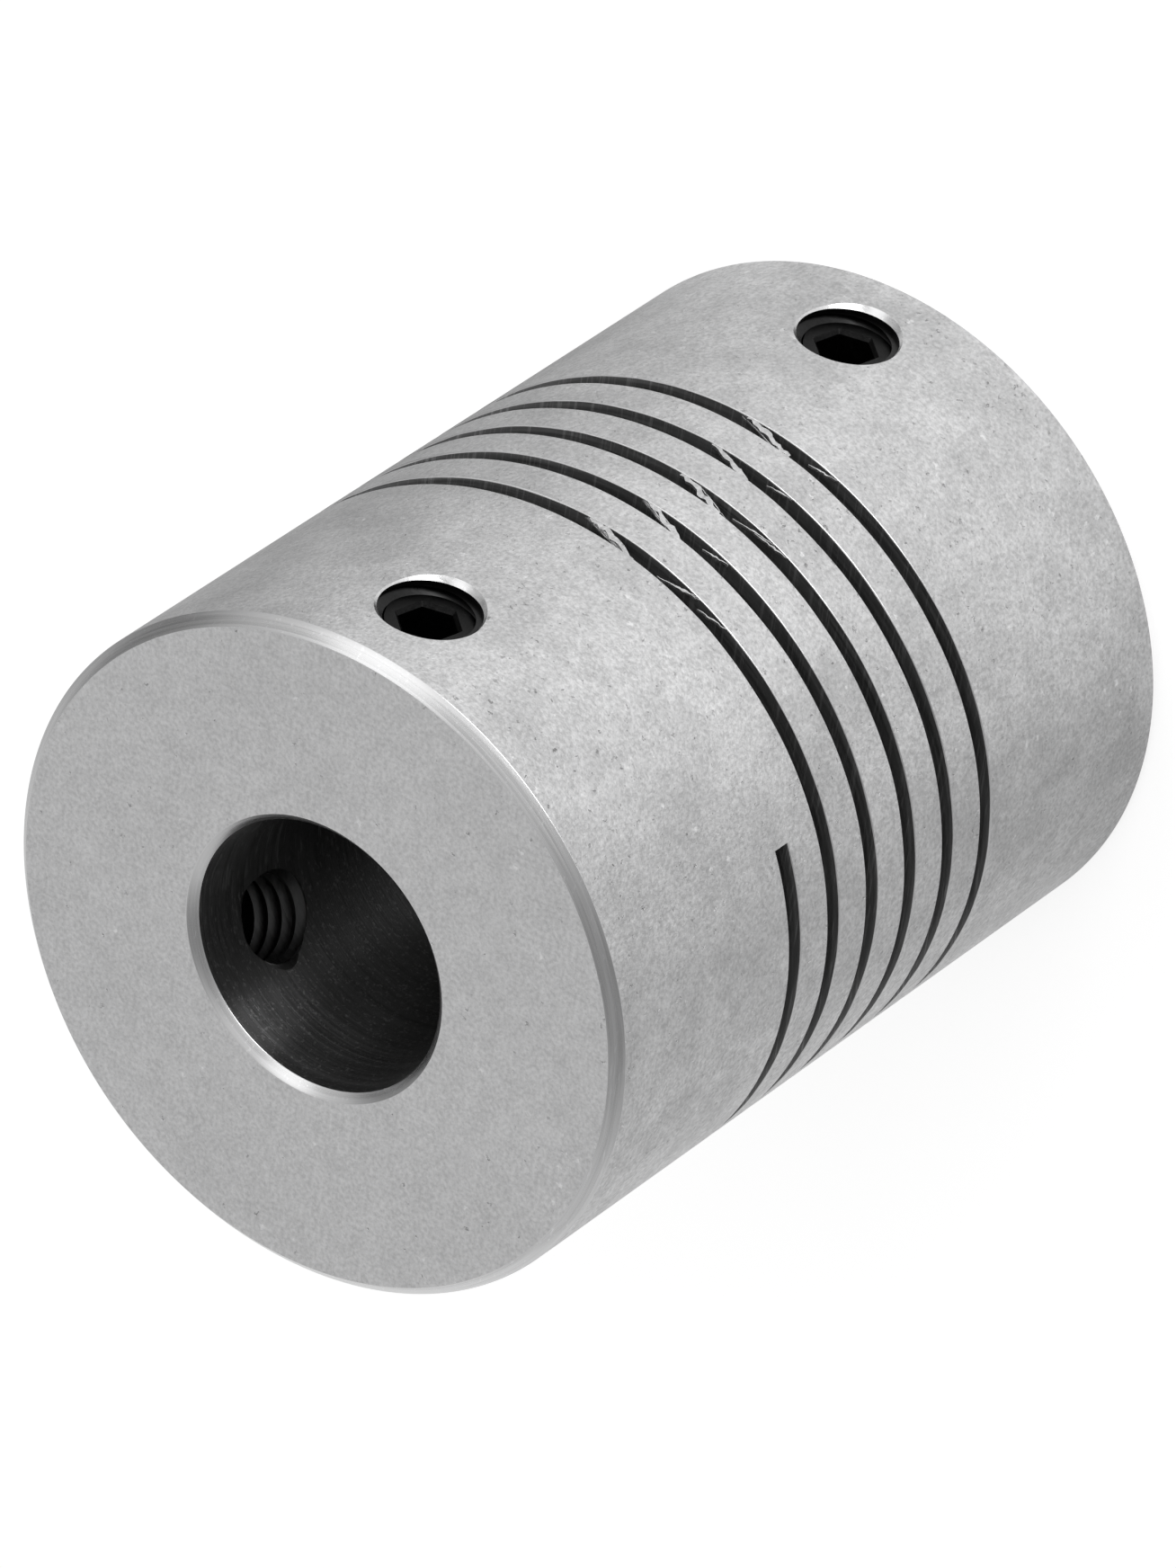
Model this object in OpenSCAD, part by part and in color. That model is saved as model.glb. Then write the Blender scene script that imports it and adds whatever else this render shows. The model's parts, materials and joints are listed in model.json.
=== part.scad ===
// Flexible beam shaft coupling: one turned bar with a helical slot sawn right through
// its wall, and two set screws in each end hub. All sizes are in millimetres.
// It stands on its lower end face. The origin is the centre of that face, +Z runs
// along the shaft axis, and +X points at the first set screw of each hub.

/* [Body] */
// Outside diameter of the turned bar
body_d = 20; // [19:0.5:30]
// Length from end face to end face
body_l = 26; // [24:0.5:40]
// Bevel round the outside of each end face
rim_bevel = 0.3; // [0.1:0.05:0.8]

/* [Bore] */
// Diameter of the bore that takes the shafts
bore_d = 8; // [5:0.5:9]
// Bevel at each mouth of the bore
bore_bevel = 0.25; // [0.1:0.05:0.8]

/* [Helical slot] */
// Width of the saw cut, measured along the shaft axis
slot_w = 0.5; // [0.3:0.05:0.8]
// Rise of the slot in one turn
slot_pitch = 1.83; // [1.3:0.01:2.2]
// Number of turns from one end of the slot to the other
slot_turns = 5.32; // [3:0.01:6]
// Direction in which the slot's upper end stands, counted from +X towards +Y
slot_top_angle = -64; // [-180:1:180]

/* [Set screws] */
// Outside diameter of the screw's thread
screw_d = 3; // [2:0.5:4]
// Length of the screw
screw_l = 4; // [3:0.5:5]
// Distance from each end face to the screws' axes
screw_inset = 3.2; // [2.5:0.1:4]
// Angle from the first screw of a hub to its second screw
screw_spread = 120; // [60:5:180]
// Depth of the screws' heads below the body's surface
screw_sink = 0.5; // [0:0.1:0.9]
// Gap all round between a screw and its hole
screw_gap = 0.05; // [0.02:0.01:0.1]
// Size of the hex socket across its flats
socket_flats = 1.5; // [0.9:0.1:1.5]
// Depth of the hex socket
socket_depth = 1.6; // [1:0.1:2]
// Diameter of the cup that bites the shaft
cup_d = 1.2; // [0.6:0.1:1.4]
// Bevel round the mouth of each screw hole
hole_bevel = 0.12; // [0.05:0.01:0.3]

/* [Hidden] */

$fn = 96;
body_r = body_d / 2;
bore_r = bore_d / 2;
screw_r = screw_d / 2 - screw_gap;
hole_r = screw_d / 2;

// The two hubs' screws lie in these planes
upper_z = body_l - screw_inset;
lower_z = screw_inset;

// The slot is centred on the body's length and falls from its upper end
slot_rise = slot_turns * slot_pitch;
slot_top_z = (body_l + slot_rise) / 2;
slot_steps = ceil(slot_turns * 36);

// The saw starts inside the bore and ends outside the body by this much
saw_reach = 1;

// The screw's point tapers over this length, and its head's edge over the smaller one
point_h = 0.6;
edge_h = 0.2;
cup_depth = 0.35;
// The socket's drilled bottom is a cone of this share of its radius
drill_slope = 0.5;
// Small overlap that keeps cuts clear of faces they would otherwise share
over = 0.5;

// Places its children with their +Z pointing straight out of the body
module on_screw_axis(height, angle) {
    rotate([0, 0, angle])
        translate([0, 0, height])
            rotate([0, 90, 0])
                children();
}

// The turned bar, drawn as half of its lengthwise section
module turned_bar() {
    rotate_extrude()
        polygon([
            [bore_r + bore_bevel, 0],
            [body_r - rim_bevel, 0],
            [body_r, rim_bevel],
            [body_r, body_l - rim_bevel],
            [body_r - rim_bevel, body_l],
            [bore_r + bore_bevel, body_l],
            [bore_r, body_l - bore_bevel],
            [bore_r, bore_bevel]
        ]);
}

// One corner of the saw's blade, after turning through the given share of the slot
function slot_point(share, radius, side) =
    let (turned = 360 * slot_turns * share)
    let (angle = slot_top_angle - turned)
    [
        radius * cos(angle),
        radius * sin(angle),
        slot_top_z - slot_rise * share + side * slot_w / 2
    ];

// The space that the saw sweeps: a square blade wound along a right-handed helix
module slot_sweep() {
    inner = bore_r - saw_reach;
    outer = body_r + saw_reach;
    corners = [
        for (i = [0 : slot_steps])
            for (c = [[inner, -1], [outer, -1], [outer, 1], [inner, 1]])
                slot_point(i / slot_steps, c[0], c[1])
    ];
    last = 4 * slot_steps;
    sides = [
        for (i = [0 : slot_steps - 1])
            for (k = [0 : 3])
                let (next = (k + 1) % 4)
                for (half = [0, 1])
                    half == 0
                    ? [4 * i + k, 4 * i + 4 + next, 4 * i + next]
                    : [4 * i + k, 4 * i + 4 + k, 4 * i + 4 + next]
    ];
    ends = [[0, 1, 2, 3], [last + 3, last + 2, last + 1, last]];
    polyhedron(points = corners, faces = concat(sides, ends), convexity = 12);
}

// The drilled hole of one screw, from the bore out through the surface
module screw_hole(height, angle) {
    on_screw_axis(height, angle) {
        cylinder(r = hole_r, h = body_r + over);
        translate([0, 0, body_r - hole_bevel])
            cylinder(r1 = hole_r, r2 = hole_r + hole_bevel + over, h = hole_bevel + over);
    }
}

// One cup-point set screw with a hex socket, its head sunk below the surface
module set_screw(height, angle) {
    socket_r = socket_flats / 2 / cos(30);
    tip_r = screw_r - point_h * 0.8;
    on_screw_axis(height, angle)
        translate([0, 0, body_r - screw_sink - screw_l])
            difference() {
                rotate_extrude()
                    polygon([
                        [0, cup_depth],
                        [cup_d / 2, 0],
                        [tip_r, 0],
                        [screw_r, point_h],
                        [screw_r, screw_l - edge_h],
                        [screw_r - edge_h, screw_l],
                        [0, screw_l]
                    ]);
                translate([0, 0, screw_l - socket_depth])
                    cylinder(r = socket_r, h = socket_depth + over, $fn = 6);
                translate([0, 0, screw_l - socket_depth - socket_flats / 2 * drill_slope])
                    cylinder(r1 = 0, r2 = socket_flats / 2, h = socket_flats / 2 * drill_slope);
            }
}

module coupling_body() {
    color([0.74, 0.75, 0.77])
        difference() {
            turned_bar();
            slot_sweep();
            for (height = [upper_z, lower_z])
                for (angle = [0, screw_spread])
                    screw_hole(height, angle);
        }
}

module upper_set_screw_a() {
    color([0.13, 0.13, 0.14]) set_screw(upper_z, 0);
}

module upper_set_screw_b() {
    color([0.13, 0.13, 0.14]) set_screw(upper_z, screw_spread);
}

module lower_set_screw_a() {
    color([0.13, 0.13, 0.14]) set_screw(lower_z, 0);
}

module lower_set_screw_b() {
    color([0.13, 0.13, 0.14]) set_screw(lower_z, screw_spread);
}

coupling_body();
upper_set_screw_a();
upper_set_screw_b();
lower_set_screw_a();
lower_set_screw_b();
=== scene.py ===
# %% [markdown]
# # Dressing a beam coupling for two shafts
# The real object is one short bar of aluminium. It was turned and bored, sawn right through
# its wall along a helix, tapped for four small set screws, and tumbled with abrasive stones
# until its skin was even and grey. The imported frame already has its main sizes. This lesson
# cuts the same bar again as a finer mesh, so that the threads, the broken edges of the slot
# and the marks of the saw are there to see.

import json
import math

import bmesh
import bpy
import numpy as np
from mathutils import Matrix, Vector


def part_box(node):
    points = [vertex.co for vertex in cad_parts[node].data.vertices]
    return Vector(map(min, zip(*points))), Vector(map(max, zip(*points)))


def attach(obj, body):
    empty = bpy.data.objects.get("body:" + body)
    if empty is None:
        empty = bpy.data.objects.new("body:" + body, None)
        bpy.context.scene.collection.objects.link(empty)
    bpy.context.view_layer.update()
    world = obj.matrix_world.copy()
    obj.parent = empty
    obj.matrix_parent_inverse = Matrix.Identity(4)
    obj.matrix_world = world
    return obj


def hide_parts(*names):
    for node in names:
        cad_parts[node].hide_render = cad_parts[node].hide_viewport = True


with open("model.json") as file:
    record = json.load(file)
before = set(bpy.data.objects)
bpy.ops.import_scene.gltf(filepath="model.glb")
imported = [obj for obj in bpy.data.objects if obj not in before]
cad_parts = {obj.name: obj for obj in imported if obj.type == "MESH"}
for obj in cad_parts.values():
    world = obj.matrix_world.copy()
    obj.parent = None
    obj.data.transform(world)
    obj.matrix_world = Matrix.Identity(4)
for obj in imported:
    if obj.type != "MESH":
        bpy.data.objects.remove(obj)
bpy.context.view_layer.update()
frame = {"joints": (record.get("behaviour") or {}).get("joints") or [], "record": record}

# %% [markdown]
# ## Sizes
# Everything below is worked out in millimetres, because that is how a machinist thinks of
# such a part, and each mesh is scaled to metres once, at its end. The outer sizes, the bore
# and the screws' places are read from the frame. What the frame can't say in one number,
# such as the pitch of the slot, is repeated here. Three sizes follow the photograph more
# closely than the solids do: the slot is 0.05 mm wider, the bevel round each end is 0.04 mm
# larger, and the bevel round each screw hole is 0.02 mm smaller.

# %% Sizes, in millimetres
MM = 0.001

low, high = (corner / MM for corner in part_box("coupling_body"))
BODY_R = (high.x - low.x) / 2
BODY_L = high.z - low.z
BORE_R = frame["record"]["mounts"][0]["dims"]["r_mm"]
RIM_BEVEL = 0.34
BORE_BEVEL = 0.25
HOLE_BEVEL = 0.10

SLOT_W = 0.55
SLOT_PITCH = 1.83
SLOT_TURNS = 5.32
SLOT_TOP_ANGLE = math.radians(-64)
SLOT_TOP_Z = (BODY_L + SLOT_TURNS * SLOT_PITCH) / 2

THREAD_MAJOR = 1.5
THREAD_MINOR = 1.25
THREAD_PITCH = 0.5
SCREW_GAP = 0.05
SOCKET_FLATS = 1.5
SOCKET_DEPTH = 1.6

print(f"bar {2 * BODY_R:.1f} x {BODY_L:.1f} mm, bore {2 * BORE_R:.1f} mm")

# %% [markdown]
# Each hub has two set screws. Their places could be typed in again, but the frame knows
# them already: every screw has a slide joint along its own axis, and a box. Reading both
# keeps the threads in line with the solids. The first screw lies along the X axis, so the
# ends of its box also give its length and how far out its head reaches.

# %% Where each set screw sits
screws = {}
for joint in frame["joints"]:
    node = frame["record"]["behaviour"]["bodies"][joint["child"]][0]
    corner_a, corner_b = (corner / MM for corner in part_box(node))
    middle = (corner_a + corner_b) / 2
    outward = Vector(joint["axis"])
    screws[node] = {
        "body": joint["child"],
        "angle": math.atan2(outward.y, outward.x),
        "z": middle.z,
    }
first_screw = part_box("upper_set_screw_a")
SCREW_L = (first_screw[1].x - first_screw[0].x) / MM
SCREW_TOP = first_screw[1].x / MM
for node, place in screws.items():
    print(f"{node}: {math.degrees(place['angle']):.0f} degrees, z {place['z']:.1f} mm")

# %% [markdown]
# ## The turned bar
# The bar starts as an outline turned in a lathe: a straight bore, flat ends, and a small
# bevel wherever a tool has broken an edge. A cylinder with a Bevel modifier would do it
# too, but an outline keeps each size where a maker would look for it. Real edges are never
# perfectly sharp, so each corner of the outline is rounded by a few hundredths of a
# millimetre. It is this tiny radius that catches the light as a thin bright line.

# %% Helpers for turning
ROUND_STEPS = 3


def solid(name, points, faces):
    """A closed mesh object, still in millimetres, with its faces turned outward."""
    mesh = bpy.data.meshes.new(name)
    mesh.from_pydata(np.asarray(points, float).tolist(), [], faces)
    shape = bmesh.new()
    shape.from_mesh(mesh)
    if shape.calc_volume(signed=True) < 0:
        mesh.flip_normals()
    shape.free()
    mesh.update()
    obj = bpy.data.objects.new(name, mesh)
    bpy.context.scene.collection.objects.link(obj)
    return obj


def lathe(name, outline, steps):
    """Turns a closed outline of (radius, height) points round the Z axis."""
    outline = np.asarray(outline, float)
    count = len(outline)
    turn = np.arange(steps) * 2 * math.pi / steps
    points = np.stack([
        np.outer(np.cos(turn), outline[:, 0]),
        np.outer(np.sin(turn), outline[:, 0]),
        np.tile(outline[:, 1], (steps, 1)),
    ], axis=2).reshape(-1, 3)
    faces = []
    for i in range(steps):
        for j in range(count):
            a, b = i * count, (i + 1) % steps * count
            k = (j + 1) % count
            faces.append((a + j, b + j, b + k, a + k))
    return solid(name, points, faces)


def rounded(corners, radius):
    """An outline with each corner rounded to the same small radius."""
    corners = [np.array(c, float) for c in corners]
    out = []
    for k, corner in enumerate(corners):
        to_last = corners[k - 1] - corner
        to_next = corners[(k + 1) % len(corners)] - corner
        to_last /= np.linalg.norm(to_last)
        to_next /= np.linalg.norm(to_next)
        half = math.acos(np.clip(to_last @ to_next, -1, 1)) / 2
        inward = to_last + to_next
        centre = corner + inward / np.linalg.norm(inward) * radius / math.sin(half)
        start = corner + to_last * radius / math.tan(half) - centre
        end = corner + to_next * radius / math.tan(half) - centre
        opening = math.pi - 2 * half
        for share in np.linspace(0, 1, ROUND_STEPS + 1):
            a = math.sin((1 - share) * opening) / math.sin(opening)
            b = math.sin(share * opening) / math.sin(opening)
            out.append(centre + a * start + b * end)
    return out


# %% Turn the bar
TURN_STEPS = 480
EDGE_R = 0.045

bar = lathe("coupling", rounded([
    (BORE_R + BORE_BEVEL, 0),
    (BODY_R - RIM_BEVEL, 0),
    (BODY_R, RIM_BEVEL),
    (BODY_R, BODY_L - RIM_BEVEL),
    (BODY_R - RIM_BEVEL, BODY_L),
    (BORE_R + BORE_BEVEL, BODY_L),
    (BORE_R, BODY_L - BORE_BEVEL),
    (BORE_R, BORE_BEVEL),
], EDGE_R), TURN_STEPS)
print("turned bar:", len(bar.data.polygons), "faces")

# %% [markdown]
# ## The helical slot
# A thin saw follows a right-handed helix and cuts through the wall into the bore. Here it
# is one cross-section swept along the helix, and a boolean cuts the bar with it, as the
# tool cuts metal. Building the wall turn by turn would need no boolean, but then the ends
# of the slot would have to be made by hand. Blender's Manifold solver is used because it
# is fast and keeps a closed mesh closed, which a printed or simulated part needs. Near the
# skin the saw's two sides flare out in a small arc, which leaves the rounded edge of the
# slot. The flare and the sides wander a little from step to step, as they do where a blade
# chatters and where tumbling has worn the edge unevenly.

# %% Helpers for sawing
SEED = 20
rng = np.random.default_rng(SEED)


def sweep(name, rings):
    """Joins equal rings of points, one after the other, and caps both ends."""
    rings = np.asarray(rings, float)
    total, count, _ = rings.shape
    faces = []
    for i in range(total - 1):
        for j in range(count):
            k = (j + 1) % count
            a, b = i * count, (i + 1) * count
            faces.append((a + j, b + j, b + k, a + k))
    faces.append(tuple(range(count)))
    last = (total - 1) * count
    faces.append(tuple(reversed(range(last, last + count))))
    return solid(name, rings.reshape(-1, 3), faces)


def bake(obj):
    """Replaces an object's mesh by what its modifiers make of it."""
    depsgraph = bpy.context.evaluated_depsgraph_get()
    mesh = bpy.data.meshes.new_from_object(obj.evaluated_get(depsgraph))
    mesh.materials.clear()
    obj.modifiers.clear()
    obj.data = mesh


def cut(obj, tool, operation="DIFFERENCE"):
    """Cuts obj with a tool, or keeps what both share, and puts the tool away."""
    step = obj.modifiers.new("cut", "BOOLEAN")
    step.object = tool
    step.operation = operation
    step.solver = "MANIFOLD"
    bpy.context.view_layer.update()
    bake(obj)
    bpy.data.objects.remove(tool)


def smooth_noise(count, every):
    """A row of values from -1 to 1 that change gently, with a new one every few steps."""
    knots = rng.uniform(-1, 1, count // every + 3)
    at = np.arange(count) / every
    whole = at.astype(int)
    part = at - whole
    ease = part * part * (3 - 2 * part)
    return knots[whole] * (1 - ease) + knots[whole + 1] * ease


# %% The saw's path and section
SAW_STEPS_PER_TURN = 210
SAW_REACH = 0.6
SAW_FLARE = 0.15
EDGE_ARC = [math.radians(a) for a in (90, 65, 40, 12)]


def slot_place(share):
    """Angle and height of the slot's middle, after this share of its length."""
    angle = SLOT_TOP_ANGLE - 2 * math.pi * SLOT_TURNS * share
    return angle, SLOT_TOP_Z - SLOT_TURNS * SLOT_PITCH * share


def flank(half, edge):
    """One side of the saw, from inside the bore to outside the skin."""
    side = [(BORE_R - SAW_REACH, half)]
    for a in EDGE_ARC:
        side.append((BODY_R - edge + edge * math.cos(a), half + edge - edge * math.sin(a)))
    side.append((BODY_R + SAW_REACH, half + edge + SAW_FLARE))
    return side


# %% Saw the slot
LOW_EDGE_BREAK = 0.035
TOP_EDGE_BREAK = 0.8 * LOW_EDGE_BREAK
SIDE_WANDER = 0.012
EDGE_WANDER = 0.008
# Steps of the saw from one chatter mark to the next
SIDE_CHATTER = {"top side": 7, "low side": 9}
EDGE_CHATTER = {"top edge": (3, 8), "low edge": (2, 11)}

saw_steps = round(SLOT_TURNS * SAW_STEPS_PER_TURN)
count = saw_steps + 1
wander = {}
for side, every in SIDE_CHATTER.items():
    wander[side] = SIDE_WANDER * smooth_noise(count, every)
for side, (short, long) in EDGE_CHATTER.items():
    wander[side] = EDGE_WANDER * (smooth_noise(count, short) + smooth_noise(count, long))
rings = []
for i in range(count):
    angle, z = slot_place(i / saw_steps)
    upper = flank(SLOT_W / 2 + wander["top side"][i], TOP_EDGE_BREAK + wander["top edge"][i])
    lower = flank(SLOT_W / 2 + wander["low side"][i], LOW_EDGE_BREAK + wander["low edge"][i])
    section = [(r, -h) for r, h in lower] + [(r, h) for r, h in reversed(upper)]
    rings.append([(r * math.cos(angle), r * math.sin(angle), z + h) for r, h in section])
cut(bar, sweep("saw", rings))
print("after the saw:", len(bar.data.polygons), "faces")

# %% [markdown]
# ## Threads
# A thread is a ridge wound like the slot, but so fine that the whole rod is made at once:
# a grid of points whose rows climb by one pitch in each turn, so that the last column
# joins the first one row-group higher. Four rows make one pitch: both edges of the crest
# and both edges of the root. A Screw modifier could wind the ridge too, but it leaves open
# ends, and a boolean needs a closed mesh. The same rod, a little larger, is the tap that
# cuts the holes in the hubs, so the screws sit in real threads.

# %% The threaded rod
THREAD_STEPS = 56
THREAD_ROWS = (0.0, 0.125, 0.4375, 0.6875)
CREST_ROWS = 2


def threaded_rod(name, major, minor, start, end):
    """A closed rod round Z with a right-handed thread, from about start to about end."""
    first = math.floor(start / THREAD_PITCH)
    turns = math.ceil(end / THREAD_PITCH) - first
    group = len(THREAD_ROWS)
    rows = turns * group + 1
    points = []
    index = {}
    for i in range(THREAD_STEPS):
        turn = 2 * math.pi * i / THREAD_STEPS
        extra = group if i == 0 else 0
        for k in range(rows + extra):
            share = THREAD_ROWS[k % group]
            radius = major if k % group < CREST_ROWS else minor
            z = (first + k // group + share + i / THREAD_STEPS) * THREAD_PITCH
            index[i, k] = len(points)
            points.append((radius * math.cos(turn), radius * math.sin(turn), z))
    for k in range(rows):
        index[THREAD_STEPS, k] = index[0, k + group]
    faces = []
    for i in range(THREAD_STEPS):
        for k in range(rows - 1):
            faces.append((index[i, k], index[i + 1, k], index[i + 1, k + 1], index[i, k + 1]))
    low_rim = [index[i, 0] for i in range(THREAD_STEPS + 1)]
    low_rim += [index[0, k] for k in range(group - 1, 0, -1)]
    top_rim = [index[i, rows - 1] for i in range(THREAD_STEPS + 1)]
    top_rim += [index[0, k] for k in range(rows + group - 2, rows - 1, -1)]
    for rim, flip in ((low_rim, True), (top_rim, False)):
        centre = np.mean([points[v] for v in rim], axis=0)
        points.append((0.0, 0.0, centre[2]))
        for a, b in zip(rim, rim[1:] + rim[:1]):
            faces.append((b, a, len(points) - 1) if flip else (a, b, len(points) - 1))
    return solid(name, points, faces)


# %% [markdown]
# A real tapped hole is opened a little at its mouth, so that the screw starts easily. The
# photograph shows a thin bright bevel with a smooth dark collar under it, and the first
# thread only below that. Both are turned as one cutter and taken out of the hub after the
# tap has cut the threads. Its outline stops just short of the axis, because points on the
# axis itself would fall together.

# %% Tap the four holes
TAP_INSIDE = 1.5
TAP_OUTSIDE = 1
AXIS_R = 0.01
MOUTH_R = 1.44
MOUTH_DEPTH = 0.32
MOUTH_REACH = 0.6
MOUTH_STEPS = 64


def radial(angle, z):
    """Turns the Z axis to point straight out of the body at this angle and height."""
    return (Matrix.Rotation(angle, 4, "Z") @ Matrix.Translation((0, 0, z))
            @ Matrix.Rotation(math.pi / 2, 4, "Y"))


rim_r = THREAD_MAJOR + HOLE_BEVEL
for place in screws.values():
    tap = threaded_rod("tap", THREAD_MAJOR, THREAD_MINOR, BORE_R - TAP_INSIDE, BODY_R + TAP_OUTSIDE)
    mouth = lathe("mouth", [
        (AXIS_R, BODY_R - MOUTH_DEPTH),
        (MOUTH_R, BODY_R - MOUTH_DEPTH),
        (MOUTH_R, BODY_R - (rim_r - MOUTH_R)),
        (rim_r, BODY_R),
        (rim_r + MOUTH_REACH, BODY_R + MOUTH_REACH),
        (AXIS_R, BODY_R + MOUTH_REACH),
    ], MOUTH_STEPS)
    for tool in (tap, mouth):
        tool.data.transform(radial(place["angle"], place["z"]))
        cut(bar, tool)
print("after the taps:", len(bar.data.polygons), "faces")

# %% [markdown]
# ## Which tool made which face
# After the cuts the bar is one mesh, but its faces still tell which tool made them: the
# skin lies at the full radius, the bore at the bore's radius, the threads close to a
# screw's axis. Painting a mask would work too, but sorting the faces by their places
# follows every change of size by itself, and gives each surface its own finish.

# %% Sort the faces
SURFACES = ["skin", "end", "bevel", "bore", "slot wall", "slot edge", "thread"]
SNAP = 0.003
TAP_MARGIN = 0.2
BEVEL_BAND = 1.3 * RIM_BEVEL
EDGE_BAND = 2 * LOW_EDGE_BREAK


def tap_distance(point, place):
    """Distance of a point from a screw's axis, or far away on the other side of the bore."""
    along = point.x * math.cos(place["angle"]) + point.y * math.sin(place["angle"])
    across = point.y * math.cos(place["angle"]) - point.x * math.sin(place["angle"])
    return math.hypot(across, point.z - place["z"]) if along > 0 else BODY_L


def in_tapped_hole(point):
    """Whether a point lies inside one of the four holes, or close beside it."""
    nearest = min(tap_distance(point, place) for place in screws.values())
    return nearest < THREAD_MAJOR + TAP_MARGIN


def sort_faces(mesh):
    """The surface that each face belongs to, as an index into SURFACES."""
    points = np.array([v.co for v in mesh.vertices])
    radius = np.hypot(points[:, 0], points[:, 1])
    surface = np.zeros(len(mesh.polygons), int)
    for face in mesh.polygons:
        corners = list(face.vertices)
        r = radius[corners]
        z = points[corners, 2]
        if r.min() > BODY_R - SNAP:
            kind = "skin"
        elif z.min() > BODY_L - SNAP or z.max() < SNAP:
            kind = "end"
        elif in_tapped_hole(face.center):
            kind = "thread" if r.max() > BORE_R + SNAP else "bore"
            if r.max() > BODY_R - SNAP:
                kind = "bevel"
        elif z.min() > BODY_L - BEVEL_BAND or z.max() < BEVEL_BAND:
            kind = "bevel"
        elif r.max() < BORE_R + SNAP:
            kind = "bore"
        elif r.min() > BODY_R - EDGE_BAND:
            kind = "slot edge"
        else:
            kind = "slot wall"
        surface[face.index] = SURFACES.index(kind)
    return surface


surface = sort_faces(bar.data)
for k, kind in enumerate(SURFACES):
    print(f"{kind}: {int((surface == k).sum())} faces")

# %% [markdown]
# A boolean leaves long thin triangles on the skin, and plain smooth shading shows them as
# streaks. The real surfaces are simple, though, so their true directions are known: the
# skin faces straight out, the bore straight in, and the ends up or down. Writing these as
# the mesh's own normals makes the cut bar shade as evenly as the turned one did.

# %% Exact normals
BAR_CREASE = math.radians(38)


def exact_normals(mesh, surface):
    """Smooth shading, with the true normals of the skin, the bore and the ends, counted."""
    mesh.shade_smooth()
    points = np.array([v.co for v in mesh.vertices])
    normals = np.zeros((len(mesh.loops), 3))
    for face in mesh.polygons:
        kind = SURFACES[surface[face.index]]
        if kind not in ("skin", "end", "bore"):
            continue
        for loop in face.loop_indices:
            p = points[mesh.loops[loop].vertex_index]
            if kind == "end":
                normals[loop] = (0, 0, 1 if p[2] > BODY_L / 2 else -1)
            else:
                out = 1 if kind == "skin" else -1
                normals[loop] = (out * p[0], out * p[1], 0)
                normals[loop] /= np.linalg.norm(normals[loop])
    mesh.set_sharp_from_angle(angle=BAR_CREASE)
    mesh.normals_split_custom_set(normals.tolist())
    return int(normals.any(axis=1).sum())


print("corners with exact normals:", exact_normals(bar.data, surface))

# %% [markdown]
# ## Marks of the saw
# The slot was sawn in several plunges that don't quite meet. Where one ends and the next
# begins, a thin tongue of the skin is left, and it leans across the gap from the lower
# wall to the upper one. Beside it hang a few thin shreds, and past it bright splinters that
# lean the other way. They could be painted on, but they stand free in the gap and throw
# small shadows, so they are strips of mesh. Each is given by its turn of the slot, and by
# the angle and the height above the slot's middle at which it starts and ends.

# %% Where the tongues and splinters lie
TONGUES = [
    (1, -2.5, -0.36, -13.0, 0.28),
    (2, -5.5, -0.36, -14.5, 0.28),
    (3, -5.0, -0.34, -14.5, 0.30),
    (4, -3.5, -0.38, -12.5, 0.30),
    (5, -3.0, -0.36, -13.0, 0.28),
]
SPLINTERS = [
    (1, -17.5, 0.20, -25.0, -0.30),
    (1, -19.5, 0.06, -24.0, -0.28),
    (1, -25.5, 0.05, -31.0, -0.30),
    (2, -18.0, 0.00, -22.5, -0.24),
    (3, -16.5, 0.08, -24.0, -0.27),
    (3, -20.5, -0.04, -27.5, -0.30),
    (4, -15.0, -0.08, -19.5, -0.27),
    (5, -16.0, 0.02, -21.0, -0.27),
]
print(len(TONGUES), "tongues and", len(SPLINTERS), "splinters")

# %% One strip of torn metal
STATIONS = 25
RAGGEDNESS = 0.4
SWELLING = 0.35
DIP = 0.03


def sliver(turn, start, start_side, end, end_side, width, thick, depth, taper):
    """Points and faces of a strip of torn metal that leans across the slot."""
    ragged = RAGGEDNESS * width * smooth_noise(STATIONS, 2)
    swell = 1 + SWELLING * smooth_noise(STATIONS, 3)
    points = []
    for k in range(STATIONS):
        s = k / (STATIONS - 1)
        angle = math.radians(start + (end - start) * s) - 2 * math.pi * turn
        share = (SLOT_TOP_ANGLE - angle) / (2 * math.pi * SLOT_TURNS)
        at, z = slot_place(share)
        wide = width * swell[k] * (1 - taper * abs(2 * s - 1))
        z += start_side + (end_side - start_side) * s + ragged[k]
        top = BODY_R - depth - DIP * abs(ragged[k]) / width
        section = [(top, -wide / 2), (top, wide / 2), (top - thick, wide / 4), (top - thick, -wide / 4)]
        points += [(r * math.cos(at), r * math.sin(at), z + dz) for r, dz in section]
    faces = []
    for k in range(STATIONS - 1):
        for j in range(4):
            a, b = 4 * k, 4 * k + 4
            n = (j + 1) % 4
            faces.append((a + j, b + j, b + n, a + n))
    faces.append((0, 1, 2, 3))
    last = 4 * (STATIONS - 1)
    faces.append((last + 3, last + 2, last + 1, last))
    return points, faces


# %% Lay the strips into the slot
TONGUE = {"width": 0.19, "thick": 0.12, "depth": 0.02, "taper": 0.1}
SPLINTER = {"width": 0.06, "thick": 0.07, "depth": 0.02, "taper": 0.8}
SHRED = {"thick": 0.05, "taper": 0.7}
SHRED_WIDTHS = (0.025, 0.05)
SHRED_DEPTHS = (0.02, 0.09)
SHRED_SHIFT = 0.12
SHRED_SLIDE = 2.0
SHREDS_PER_TONGUE = 3

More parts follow.
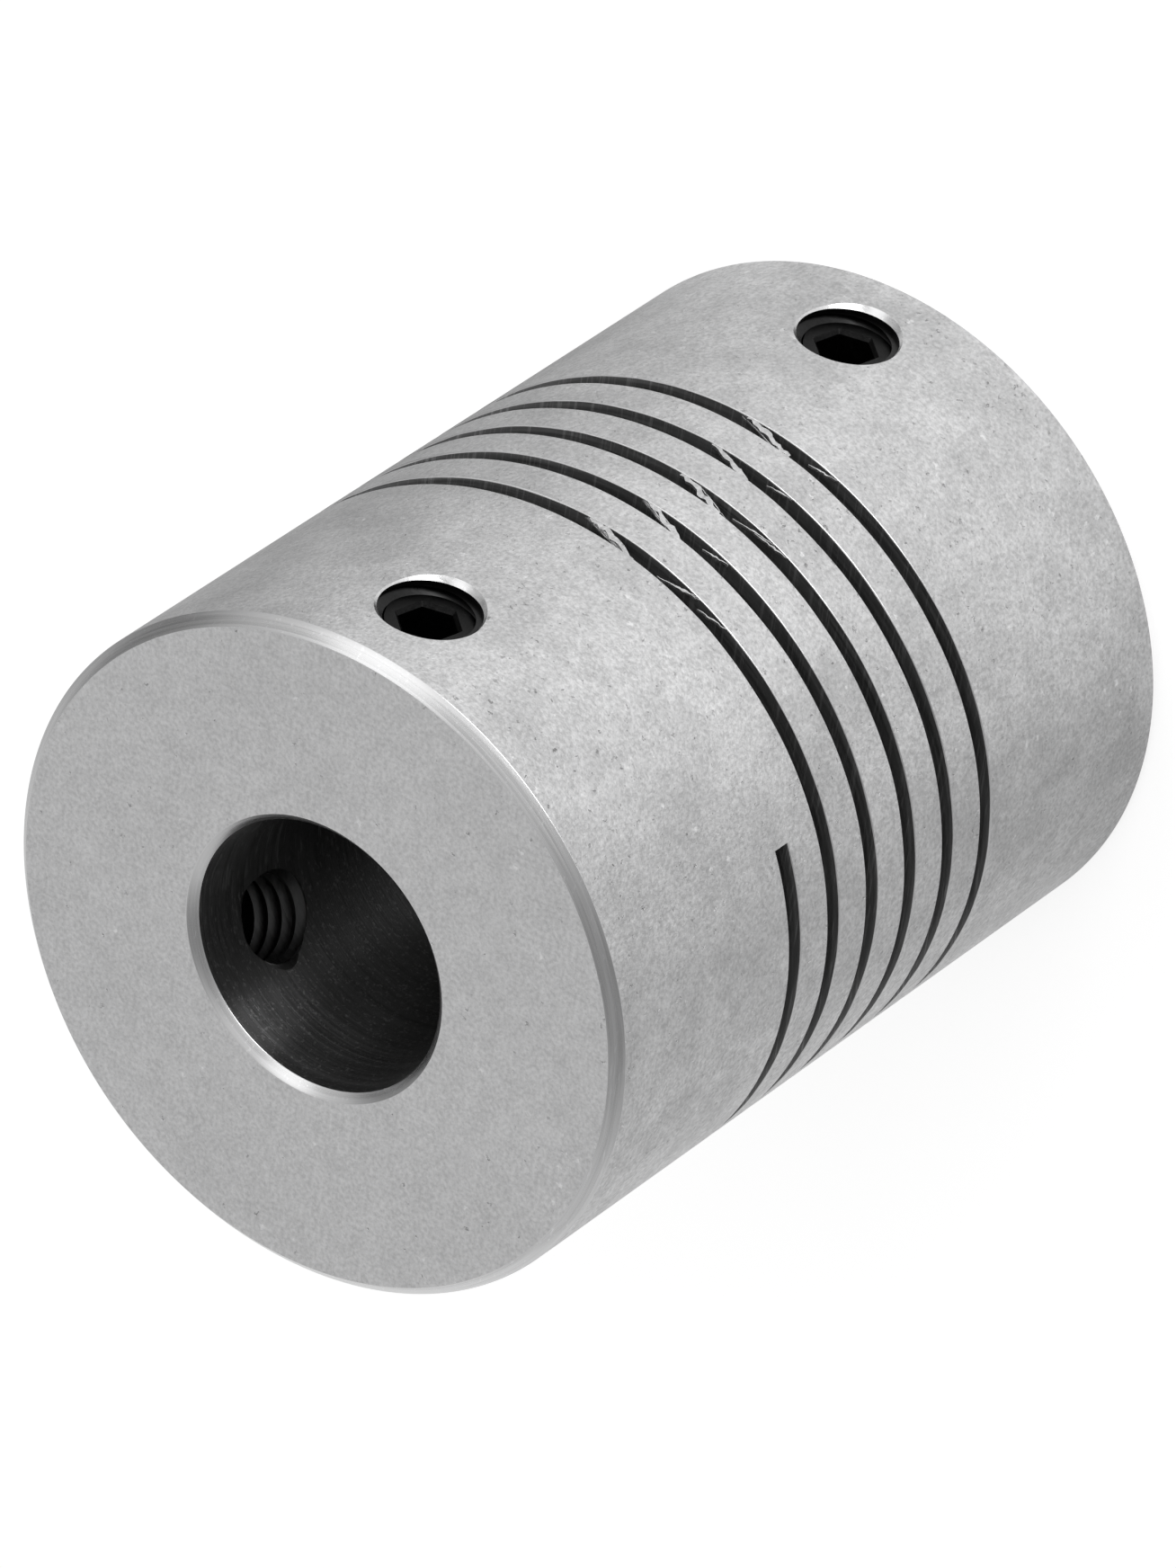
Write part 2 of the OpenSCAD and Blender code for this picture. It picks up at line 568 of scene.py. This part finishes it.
strips = []
for turn, start, start_side, end, end_side in TONGUES:
    strips.append(sliver(turn, start, start_side, end, end_side, **TONGUE))
    for _ in range(SHREDS_PER_TONGUE):
        shift = rng.uniform(-SHRED_SHIFT, SHRED_SHIFT)
        slide = rng.uniform(-SHRED_SLIDE, SHRED_SLIDE)
        width = rng.uniform(*SHRED_WIDTHS)
        depth = rng.uniform(*SHRED_DEPTHS)
        strips.append(sliver(turn, start + slide, start_side + shift, end + slide,
                             end_side + shift, width=width, depth=depth, **SHRED))
for splinter in SPLINTERS:
    strips.append(sliver(*splinter, **SPLINTER))
points, faces = [], []
for strip_points, strip_faces in strips:
    faces += [tuple(v + len(points) for v in face) for face in strip_faces]
    points += strip_points
slivers = solid("saw_slivers", points, faces)
print("slivers:", len(strips), "strips,", len(slivers.data.polygons), "faces")

# %% [markdown]
# ## The set screws
# Each screw is a piece of the same threaded rod, kept inside a turned envelope with a
# bevelled head and a pointed tip. The tip is hollowed to a cup whose rim bites into the
# shaft. A hexagonal key socket is broached into the head. Its bottom is a drilled cone, its
# corners are slightly rounded, and its mouth is flared. One screw could be copied four
# times, but each moves on a body of its own, so each is made as its own piece.

# %% The screw's envelope
ENVELOPE_STEPS = 56
CLEAR_OF_CRESTS = 0.02
POINT_H = 0.6
TIP_R = 0.96
HEAD_EDGE = 0.2
CUP_R = 0.6
CUP_DEPTH = 0.35


def turned_envelope(major, tip):
    """The space that a screw may fill, with its cup, its point and its bevelled head."""
    return lathe("envelope", [
        (AXIS_R, tip + CUP_DEPTH),
        (CUP_R, tip),
        (TIP_R, tip),
        (major + CLEAR_OF_CRESTS, tip + POINT_H),
        (major + CLEAR_OF_CRESTS, SCREW_TOP - HEAD_EDGE),
        (major - HEAD_EDGE, SCREW_TOP),
        (AXIS_R, SCREW_TOP),
    ], ENVELOPE_STEPS)


# %% The key socket
HEX_TURN = math.radians(47)
BROACH_CORNER_R = 0.06
SOCKET_FLARE = 0.12
BROACH_OVER = 0.02
BROACH_REACH = 0.3
DRILL_DEPTH = 0.3
DRILL_POINT = 0.02


def broach():
    """The tool that leaves a hexagonal socket with a drilled bottom and a flared mouth."""
    corner_r = SOCKET_FLATS / 2 / math.cos(math.pi / 6)
    corners = [HEX_TURN + math.pi / 3 * k for k in range(6)]
    hexagon = rounded([(corner_r * math.cos(a), corner_r * math.sin(a)) for a in corners], BROACH_CORNER_R)
    flared = 1 + SOCKET_FLARE / corner_r
    bottom = SCREW_TOP - SOCKET_DEPTH
    levels = [
        (DRILL_POINT, bottom - DRILL_DEPTH),
        (1, bottom),
        (1, SCREW_TOP - SOCKET_FLARE),
        (flared, SCREW_TOP + BROACH_OVER),
        (flared, SCREW_TOP + BROACH_REACH),
    ]
    return sweep("socket", [[(x * size, y * size, z) for x, y in hexagon] for size, z in levels])


# %% Make the set screws
ROD_SPARE = 1
SCREW_CREASE = math.radians(32)


def set_screw(name, place):
    """A socket set screw in its hole, threaded to match the tap."""
    major = THREAD_MAJOR - SCREW_GAP
    minor = THREAD_MINOR - SCREW_GAP
    tip = SCREW_TOP - SCREW_L
    rod = threaded_rod(name, major, minor, tip - ROD_SPARE, SCREW_TOP + ROD_SPARE)
    cut(rod, turned_envelope(major, tip), "INTERSECT")
    cut(rod, broach())
    rod.data.transform(radial(place["angle"], place["z"]))
    rod.data.shade_smooth()
    rod.data.set_sharp_from_angle(angle=SCREW_CREASE)
    return rod


for node, place in screws.items():
    screw = set_screw(f"{node}_threaded", place)
    place["piece"] = screw
    print(screw.name, len(screw.data.polygons), "faces")

# %% [markdown]
# ## Onto the frame
# The finished meshes are scaled to metres and hung on the bodies of the frame. The bar and
# its torn slivers ride on the coupling, and each screw rides on its own body, so that it
# slides in its hole when the joint moves. The bar and the screws take the place of their
# plain solids. Nothing in the frame itself is moved.

# %% To metres, and onto the frame
pieces = [bar, slivers] + [place["piece"] for place in screws.values()]
for obj in pieces:
    obj.data.transform(Matrix.Scale(MM, 4))
    obj.data.update()
bar.name = "coupling_skin"
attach(bar, "coupling")
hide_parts("coupling_body")
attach(slivers, "coupling")
for node, place in screws.items():
    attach(place["piece"], place["body"])
    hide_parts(node)
print("pieces:", [obj.name for obj in pieces])

# %% [markdown]
# ## Shared effects
# Metal that has been tumbled, turned or sawn is told apart by its small marks. Each kind of
# mark is a node group with named inputs, built once: the even grain of the stones, the
# pits they leave, short scratches, and the dull smudges of handling. The groups give only
# masks and heights, and each finish decides what to do with them. Pictures of metal would
# do the same work, but nodes stay sharp at any distance and need no unwrapping. All groups
# work in millimetres on the piece, so 8 per mm means about eight grains in a millimetre.

# %% Node helpers


def new_group(name, inputs, outputs):
    """A shader node group with the given number inputs and outputs."""
    tree = bpy.data.node_groups.new(name, "ShaderNodeTree")
    for label, value in inputs.items():
        made = tree.interface.new_socket(name=label, in_out="INPUT", socket_type="NodeSocketFloat")
        made.default_value = value
    for label in outputs:
        tree.interface.new_socket(name=label, in_out="OUTPUT", socket_type="NodeSocketFloat")
    return tree, tree.nodes.new("NodeGroupInput"), tree.nodes.new("NodeGroupOutput")


def add(tree, kind, settings=None, **values):
    """A node with its settings, and its sockets set to values or wired to other sockets.

    A socket is given by its name, or as i0, i1 and so on by its place in the list.
    """
    node = tree.nodes.new(kind)
    for key, value in (settings or {}).items():
        setattr(node, key, value)
    for key, value in values.items():
        by_place = key[0] == "i" and key[1:].isdigit()
        target = node.inputs[int(key[1:])] if by_place else node.inputs[key]
        if isinstance(value, bpy.types.NodeSocket):
            tree.links.new(value, target)
        else:
            target.default_value = value
    return node


def math_node(tree, operation, *values):
    """One step of arithmetic."""
    return add(tree, "ShaderNodeMath", {"operation": operation},
               **{f"i{k}": v for k, v in enumerate(values)}).outputs[0]


def weaker(tree, mask, share):
    """A mask turned down to this share of its strength."""
    return math_node(tree, "MULTIPLY", mask, share)


def spread(tree, value, low_in, high_in, low_out=0.0, high_out=1.0):
    """Maps a range of values onto another, and holds it there."""
    return add(tree, "ShaderNodeMapRange", {"clamp": True}, i0=value, i1=low_in,
               i2=high_in, i3=low_out, i4=high_out).outputs[0]


def place_in_mm(tree):
    """The point on the piece, in millimetres."""
    place = add(tree, "ShaderNodeTexCoord").outputs["Object"]
    return add(tree, "ShaderNodeVectorMath", {"operation": "SCALE"}, i0=place,
               Scale=1 / MM).outputs[0]


def noise(tree, vector, scale, detail, roughness):
    """Blender's noise, about 0.5 on average."""
    return add(tree, "ShaderNodeTexNoise", Vector=vector, Scale=scale, Detail=detail,
               Roughness=roughness).outputs["Fac"]


# %% [markdown]
# The stones of the barrel leave a dense grain without direction. One noise alone looks like
# mist, so a fine one is mixed with one several times coarser. Height feeds the bump, and
# Fleck is the same pattern with more contrast, for the colour.

# %% Tumbled grain
COARSER = 0.22

grain, g_in, g_out = new_group("Tumbled grain", {"Per mm": 9.0, "Fine share": 0.5}, ["Height", "Fleck"])
at = place_in_mm(grain)
per_mm = g_in.outputs["Per mm"]
fine = noise(grain, at, per_mm, detail=2.0, roughness=0.6)
coarse = noise(grain, at, math_node(grain, "MULTIPLY", per_mm, COARSER), detail=5.0, roughness=0.62)
mixed = add(grain, "ShaderNodeMix", i0=g_in.outputs["Fine share"], i2=coarse, i3=fine).outputs[0]
grain.links.new(mixed, g_out.inputs["Height"])
grain.links.new(spread(grain, mixed, low_in=0.36, high_in=0.64), g_out.inputs["Fleck"])
print("made", grain.name)

# %% [markdown]
# Here and there a stone has dug a small pit. Voronoi cells spread them evenly, and each
# cell's random colour decides whether it has a pit and how large it is. The cells' places
# are first shoved about by a noise, because a pit in metal is ragged and never a neat disc.

# %% Pits
SHOVE_PER_MM = 9.0
SHOVE_BY = 0.35
SMALLEST = 0.3
SOFT_RIM = 0.7

pits, p_in, p_out = new_group("Pits", {"Per mm": 3.0, "Share": 0.35, "Size": 0.2}, ["Mask"])
at = place_in_mm(pits)
shove = add(pits, "ShaderNodeTexNoise", Vector=at, Scale=SHOVE_PER_MM, Detail=3.0).outputs["Color"]
shove = add(pits, "ShaderNodeVectorMath", {"operation": "SCALE"}, i0=shove, Scale=SHOVE_BY).outputs[0]
at = add(pits, "ShaderNodeVectorMath", {"operation": "ADD"}, i0=at, i1=shove).outputs[0]
cells = add(pits, "ShaderNodeTexVoronoi", {"feature": "F1"}, Vector=at,
            Scale=p_in.outputs["Per mm"], Randomness=1.0)
pick = add(pits, "ShaderNodeSeparateColor", i0=cells.outputs["Color"])
kept = math_node(pits, "LESS_THAN", pick.outputs[0], p_in.outputs["Share"])
size = math_node(pits, "MULTIPLY", spread(pits, pick.outputs[1], 0.0, 1.0, SMALLEST, 1.0),
                 p_in.outputs["Size"])
depth = math_node(pits, "SUBTRACT", 1.0, math_node(pits, "DIVIDE", cells.outputs["Distance"], size))
pit = math_node(pits, "MULTIPLY", kept, spread(pits, depth, 0.0, SOFT_RIM))
pits.links.new(pit, p_out.inputs["Mask"])
print("made", pits.name)

# %% [markdown]
# Scratches come from handling and from other parts in the box. Noise that is squeezed
# across and stretched along gives long thin marks, and only its highest ridges are kept.
# Three such layers, each tilted another way, cross each other as real scratches do.

# %% Short scratches
SLANTS_AND_SHIFTS = ((0.5, 3.0), (-0.9, 11.0), (1.7, 23.0))
STRETCH = (0.3, 7.0, 7.0)
SOFT_EDGE = 0.08

scratches, s_in, s_out = new_group("Short scratches", {"Per mm": 1.6, "Fewer": 0.66}, ["Mask"])
at = place_in_mm(scratches)
fewer = s_in.outputs["Fewer"]
strokes = []
for slant, shift in SLANTS_AND_SHIFTS:
    tilted = add(scratches, "ShaderNodeMapping", Vector=at, Location=(shift, 0, 0),
                 Rotation=(slant, slant / 2, slant), Scale=STRETCH).outputs[0]
    line = noise(scratches, tilted, s_in.outputs["Per mm"], detail=2.0, roughness=0.6)
    strokes.append(spread(scratches, line, fewer, math_node(scratches, "ADD", fewer, SOFT_EDGE)))
both = math_node(scratches, "MAXIMUM", strokes[0], strokes[1])
scratches.links.new(math_node(scratches, "MAXIMUM", both, strokes[2]), s_out.inputs["Mask"])
print("made", scratches.name)

# %% [markdown]
# Smudges are broad and soft: a film of polish and oil that a cloth has missed. One large
# noise with much detail is enough. Its low values are held at 0, so that clean metal stays
# clean.

# %% Smudges
smudges, m_in, m_out = new_group("Smudges", {"Per mm": 0.22}, ["Mask"])
at = place_in_mm(smudges)
cloud = noise(smudges, at, m_in.outputs["Per mm"], detail=6.0, roughness=0.62)
smudges.links.new(spread(smudges, cloud, low_in=0.40, high_in=0.68), m_out.inputs["Mask"])
print("effects:", [tree.name for tree in bpy.data.node_groups])

# %% [markdown]
# ## Finishes
# The finishes are one metal seen under different tools, so they share a few helpers. Each
# material has one Principled shader. Its colours are greys, laid over each other where a
# mask says so.

# %% Material helpers


def new_material(name, **values):
    """A material with one Principled shader and its plain values."""
    material = bpy.data.materials.new(name)
    material.use_nodes = True
    tree = material.node_tree
    shader = tree.nodes["Principled BSDF"]
    for label, value in values.items():
        shader.inputs[label.replace("_", " ")].default_value = value
    return material, tree, shader


def effect(tree, group, **values):
    """Places a shared effect in a material, with this finish's own values."""
    node = tree.nodes.new("ShaderNodeGroup")
    node.node_tree = group
    for label, value in values.items():
        node.inputs[label.replace("_", " ")].default_value = value
    return node


def tint(tree, mask, plain, marked):
    """One colour where the mask is 0 and another where it is 1."""
    mix = add(tree, "ShaderNodeMix", {"data_type": "RGBA"})
    for socket, value in ((mix.inputs[0], mask), (mix.inputs[6], plain), (mix.inputs[7], marked)):
        if isinstance(value, bpy.types.NodeSocket):
            tree.links.new(value, socket)
        else:
            socket.default_value = value
    return mix.outputs[2]


def grey(value):
    """A neutral metal colour with a trace more blue."""
    return (value, value, value * 1.005, 1.0)


# %% [markdown]
# The tumbled skin is rough and nearly even. Flecks make it lighter and darker by a little,
# smudges dull it, fresh chips and scratches shine, and the pits are dark where grime has
# stayed in them. Pits in a smudge are the darkest, because the same film has filled them.

# %% Tumbled aluminium
# How bright the marked metal is, as a share of the plain metal
DULLED = 0.45
FRESH = 1.4
GRIMY = 0.25
BRIGHTEST = 0.95
# How much of each mark shows
SCRATCHES_SHOW = 0.25
CHIPS_SHOW = 0.7
GRIME_SHOWS = 0.22
FILM_ADDS = 0.55
GRAIN_DEPTH = 0.05 * MM


def tumbled(name, base, contrast, smudge, pitted):
    """Aluminium skin as it comes out of the tumbling barrel."""
    material, tree, shader = new_material(name, Metallic=1.0)
    texture = effect(tree, grain, Per_mm=8.0, Fine_share=0.68)
    holes = effect(tree, pits, Per_mm=3.6, Share=pitted, Size=0.26)
    chips = effect(tree, pits, Per_mm=1.8, Share=pitted, Size=0.22)
    lines = effect(tree, scratches, Per_mm=1.6, Fewer=0.74)
    film = effect(tree, smudges, Per_mm=0.32)
    colour = tint(tree, texture.outputs["Fleck"],
                  grey(base * (1 - contrast)), grey(base * (1 + contrast)))
    dull = weaker(tree, film.outputs["Mask"], smudge)
    colour = tint(tree, dull, colour, grey(base * DULLED))
    bright = math_node(tree, "MAXIMUM", weaker(tree, lines.outputs["Mask"], SCRATCHES_SHOW),
                       weaker(tree, chips.outputs["Mask"], CHIPS_SHOW))
    colour = tint(tree, bright, colour, grey(min(base * FRESH, BRIGHTEST)))
    filled = math_node(tree, "ADD", weaker(tree, film.outputs["Mask"], FILM_ADDS), GRIME_SHOWS)
    grime = math_node(tree, "MULTIPLY", holes.outputs["Mask"], filled)
    colour = tint(tree, grime, colour, grey(base * GRIMY))
    tree.links.new(colour, shader.inputs["Base Color"])
    rough = spread(tree, texture.outputs["Fleck"], 0.0, 1.0, low_out=0.56, high_out=0.46)
    tree.links.new(rough, shader.inputs["Roughness"])
    height = math_node(tree, "SUBTRACT", texture.outputs["Height"], holes.outputs["Mask"])
    bump = add(tree, "ShaderNodeBump", Strength=0.8, Distance=GRAIN_DEPTH, Height=height)
    tree.links.new(bump.outputs[0], shader.inputs["Normal"])
    return material


# %% [markdown]
# A lathe or a reamer leaves fine rings round the shaft's axis, so this finish measures how
# far each point lies from the axis and feeds that to the noise, with the height along the
# bar. The rings blur a reflection across themselves, which is what Anisotropic does. The
# same finish serves the saw's walls and the threads, with a much darker colour that is
# painted shade of the slot and the holes. A finish can also be darkened towards the skin,
# as painted shade in the mouths of the threaded holes.

# %% Turned, reamed and sawn aluminium
RING_DEPTH = 0.01 * MM
RING_BREAKS = 0.03
RING_DARK = 0.82
RING_LIGHT = 1.1
RING_SMOOTH = 0.85
RING_ROUGH = 1.15
SCORES_SHOW = 0.4
QUARTER_TURN = 0.25
# Where the painted shade in the mouths of the threaded holes starts, and where it is full
MOUTH_SHADE_STARTS = 0.8 * BODY_R
MOUTH_SHADE_FULL = 0.95 * BODY_R


def turned(name, base, roughness, rings_per_mm, strength, brushed=0.0, scored=1.4, fewer=0.66,
           mouth_shade=0.0):
    """A freshly turned, reamed or sawn surface with fine rings round the shaft axis."""
    material, tree, shader = new_material(name, Metallic=1.0, Anisotropic=brushed)
    shader.inputs["Anisotropic Rotation"].default_value = QUARTER_TURN
    across = add(tree, "ShaderNodeTangent", {"direction_type": "RADIAL", "axis": "Z"}).outputs[0]
    tree.links.new(across, shader.inputs["Tangent"])
    parts = add(tree, "ShaderNodeSeparateXYZ", i0=place_in_mm(tree))
    flat = add(tree, "ShaderNodeCombineXYZ", i0=parts.outputs[0], i1=parts.outputs[1]).outputs[0]
    out = add(tree, "ShaderNodeVectorMath", {"operation": "LENGTH"}, i0=flat).outputs["Value"]
    breaks = math_node(tree, "MULTIPLY", parts.outputs[0], RING_BREAKS)
    ring = add(tree, "ShaderNodeCombineXYZ", i0=out, i1=parts.outputs[2], i2=breaks).outputs[0]
    rings = noise(tree, ring, rings_per_mm, detail=3.0, roughness=0.6)
    lines = effect(tree, scratches, Per_mm=1.2, Fewer=fewer)
    shade = spread(tree, rings, low_in=0.3, high_in=0.7)
    colour = tint(tree, shade, grey(base * RING_DARK), grey(base * RING_LIGHT))
    scores = weaker(tree, lines.outputs["Mask"], SCORES_SHOW)
    colour = tint(tree, scores, colour, grey(base * scored))
    # Painted shade: the colour darkens towards black near the skin, for the mouths of the threaded holes
    painted_mouth_shade = spread(tree, out, MOUTH_SHADE_STARTS, MOUTH_SHADE_FULL, 0.0, mouth_shade)
    colour = tint(tree, painted_mouth_shade, colour, grey(0.0))
    tree.links.new(colour, shader.inputs["Base Color"])
    rough = spread(tree, shade, 0.0, 1.0, roughness * RING_SMOOTH, roughness * RING_ROUGH)
    tree.links.new(rough, shader.inputs["Roughness"])
    bump = add(tree, "ShaderNodeBump", Strength=strength, Distance=RING_DEPTH, Height=rings)
    tree.links.new(bump.outputs[0], shader.inputs["Normal"])
    return material


# %% [markdown]
# The screws are hardened steel, blackened in hot salts. The black is a thin oxide on a
# metal, so it stays fully metallic with a very dark colour, and worn flecks and scratches
# show a little of the steel.

# %% Black steel


def black_steel():
    """Hardened steel, blackened in hot salts and lightly oiled."""
    material, tree, shader = new_material("black steel", Metallic=1.0)
    texture = effect(tree, grain, Per_mm=14.0, Fine_share=0.5)
    lines = effect(tree, scratches, Per_mm=2.4, Fewer=0.66)
    colour = tint(tree, texture.outputs["Fleck"], grey(0.008), grey(0.018))
    colour = tint(tree, weaker(tree, lines.outputs["Mask"], SCRATCHES_SHOW), colour, grey(0.06))
    tree.links.new(colour, shader.inputs["Base Color"])
    rough = spread(tree, texture.outputs["Fleck"], 0.0, 1.0, low_out=0.34, high_out=0.46)
    tree.links.new(rough, shader.inputs["Roughness"])
    bump = add(tree, "ShaderNodeBump", Strength=0.3, Distance=RING_DEPTH, Height=texture.outputs["Height"])
    tree.links.new(bump.outputs[0], shader.inputs["Normal"])
    return material


# %% [markdown]
# Now each surface gets its finish. The bevels look newly turned, and they and the slot's
# broken edges are the brightest. The bore has the fine rings of a reamer and a few bright
# scores, and its dark colour is partly a film of oil and partly painted shade. The saw's
# walls are scored, and they and the threads are painted dark, as shade in the slot and holes.

# %% Hand out the finishes
finishes = {
    "skin": tumbled("tumbled skin", base=0.60, contrast=0.18, smudge=0.33, pitted=0.50),
    "end": tumbled("tumbled ends", base=0.64, contrast=0.12, smudge=0.08, pitted=0.15),
    "bevel": turned("turned bevel", base=0.64, roughness=0.28, rings_per_mm=9.0, strength=0.3),
    # Painted shade: the bore, the sawn walls and the threads get dark bases for the shade inside them.
    "bore": turned("reamed bore", base=0.21, roughness=0.34, rings_per_mm=14.0, strength=0.8,
                   brushed=0.9, scored=3.0, fewer=0.62),
    "slot wall": turned("sawn wall", base=0.23, roughness=0.50, rings_per_mm=10.0, strength=0.5,
                        scored=2.6, fewer=0.60),
    "slot edge": turned("broken edge", base=0.66, roughness=0.38, rings_per_mm=8.0, strength=0.3),
    # The threads are darkened towards the skin as painted shade in the mouths of the holes
    "thread": turned("cut thread", base=0.22, roughness=0.32, rings_per_mm=12.0, strength=0.2,
                     mouth_shade=0.88),
}
for kind in SURFACES:
    bar.data.materials.append(finishes[kind])
bar.data.polygons.foreach_set("material_index", surface.astype(np.int32))
slivers.data.materials.append(finishes["skin"])
steel = black_steel()
for place in screws.values():
    place["piece"].data.materials.append(steel)
print("finishes:", sorted(m.name for m in finishes.values()))

# %% [markdown]
# ## Floor
# The photograph shows the coupling cut out on white. Here it stands on its end on a plain
# pale floor, and the camera is tilted to the photograph's view. More lamps would make the
# floor white, and would bleach the metal too. So the floor glows only for rays that come
# from the camera, and more weakly for those that metal reflects, and it still takes the
# coupling's soft shadow. The floor that the metal reflects is lighter in front of the
# coupling and behind it than at its sides, so the round bar shows soft bands.

# %% Lay the floor
FLOOR_SIZE = 3.0
FLOOR_GREY = 0.45
LIFT_IN_VIEW = 0.72
LIFT_IN_METAL = 0.11
LIFT_IN_FRONT = 0.66
LIFT_BEHIND = 0.52
FRONT = math.radians(-20)
BEHIND = math.radians(180)

bpy.ops.mesh.primitive_plane_add(size=FLOOR_SIZE, location=(0, 0, 0))
floor = bpy.context.object
floor.name = "floor"
paper = bpy.data.materials.new("white paper")
paper.use_nodes = True
tree = paper.node_tree
shader = tree.nodes["Principled BSDF"]
shader.inputs["Base Color"].default_value = (FLOOR_GREY, FLOOR_GREY, FLOOR_GREY, 1)
shader.inputs["Roughness"].default_value = 0.9
shader.inputs["Specular IOR Level"].default_value = 0.0
shader.inputs["Emission Color"].default_value = (1, 1, 1, 1)
rays = add(tree, "ShaderNodeLightPath")
mirrored = math_node(tree, "MAXIMUM", rays.outputs["Is Glossy Ray"],
                     rays.outputs["Is Transmission Ray"])
heading = add(tree, "ShaderNodeVectorMath", {"operation": "NORMALIZE"},
              i0=add(tree, "ShaderNodeTexCoord").outputs["Object"]).outputs[0]


def facing(angle):
    """1 on the floor in this direction from the coupling, falling to 0 at right angles."""
    toward = (math.cos(angle), math.sin(angle), 0)
    dot = add(tree, "ShaderNodeVectorMath", {"operation": "DOT_PRODUCT"}, i0=heading, i1=toward)
    return math_node(tree, "MAXIMUM", 0.0, dot.outputs["Value"])


sides = math_node(tree, "ADD", weaker(tree, facing(FRONT), LIFT_IN_FRONT),
                  weaker(tree, facing(BEHIND), LIFT_BEHIND))
glow = math_node(tree, "ADD", LIFT_IN_METAL, sides)
lift = math_node(tree, "ADD", weaker(tree, rays.outputs["Is Camera Ray"], LIFT_IN_VIEW),
                 math_node(tree, "MULTIPLY", mirrored, glow))
tree.links.new(lift, shader.inputs["Emission Strength"])
floor.data.materials.append(paper)
print("floor:", FLOOR_SIZE, "m wide")

# %% [markdown]
# ## World
# An even white sky makes metal look flat, because there is nothing in it to reflect. Two
# soft dark patches, on opposite sides of the bar, do what black cards do in a studio: the
# metal that reflects them turns a darker grey. The camera itself still sees plain white.

# %% Light the sky
WORLD_STRENGTH = 0.70
DARK_SIDE = (-0.05, -0.81, 0.58)
DARK_HORIZON = (0.02, 0.99, 0.10)

world = bpy.data.worlds.new("studio")
bpy.context.scene.world = world
world.use_nodes = True
tree = world.node_tree
back = tree.nodes["Background"]
back.inputs["Color"].default_value = (1, 1, 1, 1)
rays = add(tree, "ShaderNodeLightPath")
direction = add(tree, "ShaderNodeTexCoord").outputs["Generated"]


def dimmer(toward, start, full, dimmest):
    """1 over most of the sky, falling to dimmest round one direction."""
    dot = add(tree, "ShaderNodeVectorMath", {"operation": "DOT_PRODUCT"}, i0=direction, i1=toward)
    return spread(tree, dot.outputs["Value"], start, full, 1.0, dimmest)


dimmed = math_node(tree, "MULTIPLY", dimmer(DARK_SIDE, start=0.70, full=0.95, dimmest=0.45),
                   dimmer(DARK_HORIZON, start=0.86, full=0.97, dimmest=0.32))
dimmed = math_node(tree, "MULTIPLY", dimmed, WORLD_STRENGTH)
strength = add(tree, "ShaderNodeMix", i0=rays.outputs["Is Camera Ray"], i2=dimmed, i3=1.0).outputs[0]
tree.links.new(strength, back.inputs["Strength"])
print("sky strength", WORLD_STRENGTH)

# %% [markdown]
# ## Lamps
# Two soft boxes add what the sky can't: a key from above, and a smaller and stronger one
# low and close by. Both stand on the side that the first screws face. A lamp is given by
# where it stands as seen from the coupling, which is easier to think about than a place
# and three angles.

# %% Set up the lamps
CENTRE = Vector((0, 0, BODY_L / 2)) * MM


def lamp(name, azimuth, elevation, distance, width, height, brightness):
    """A soft box that looks at the coupling from one direction, given in degrees."""
    data = bpy.data.lights.new(name, "AREA")
    data.shape = "RECTANGLE"
    data.size = width
    data.size_y = height
    data.energy = brightness * math.pi * width * height
    obj = bpy.data.objects.new(name, data)
    bpy.context.scene.collection.objects.link(obj)
    level = math.cos(math.radians(elevation))
    toward = Vector((level * math.cos(math.radians(azimuth)),
                     level * math.sin(math.radians(azimuth)),
                     math.sin(math.radians(elevation))))
    obj.location = CENTRE + toward * distance
    obj.rotation_euler = toward.to_track_quat("Z", "Y").to_euler()
    print(f"{name}: {data.energy:.3f} W")


lamp("key", azimuth=25, elevation=36, distance=0.5, width=0.24, height=0.22, brightness=1.1)
lamp("low_front", azimuth=-21, elevation=14, distance=0.3, width=0.20, height=0.14, brightness=4.7)

# %% [markdown]
# ## Camera
# The camera's place, aim and roll were fitted so that the bar's outline, its near rim and
# both screw holes fall where the photograph has them. It is rolled far over, because the
# photograph shows the bar lying and the model stands on its end. A long lens from further
# back gives the small difference in size between the near end and the far one.

# %% Place the camera
CAMERA_AT = Vector((224.9, -170.4, 302.3)) * MM
CAMERA_AIM = Vector((-0.34, -0.03, 13.25)) * MM
CAMERA_ROLL = math.radians(-124.14)
LENS = 338.5
SENSOR = 36.0

camera_data = bpy.data.cameras.new("camera")
camera_data.sensor_fit = "VERTICAL"
camera_data.sensor_height = SENSOR
camera_data.lens = LENS
camera_data.clip_start = 0.01
camera = bpy.data.objects.new("camera", camera_data)
bpy.context.scene.collection.objects.link(camera)
camera.location = CAMERA_AT
look = (CAMERA_AIM - CAMERA_AT).to_track_quat("-Z", "Y").to_matrix().to_4x4()
roll = Matrix.Rotation(CAMERA_ROLL, 4, "Z")
camera.matrix_world = Matrix.Translation(CAMERA_AT) @ look @ roll
bpy.context.scene.camera = camera
bpy.context.scene.view_settings.view_transform = "Standard"
print(f"camera {(CAMERA_AIM - CAMERA_AT).length:.3f} m from the coupling")
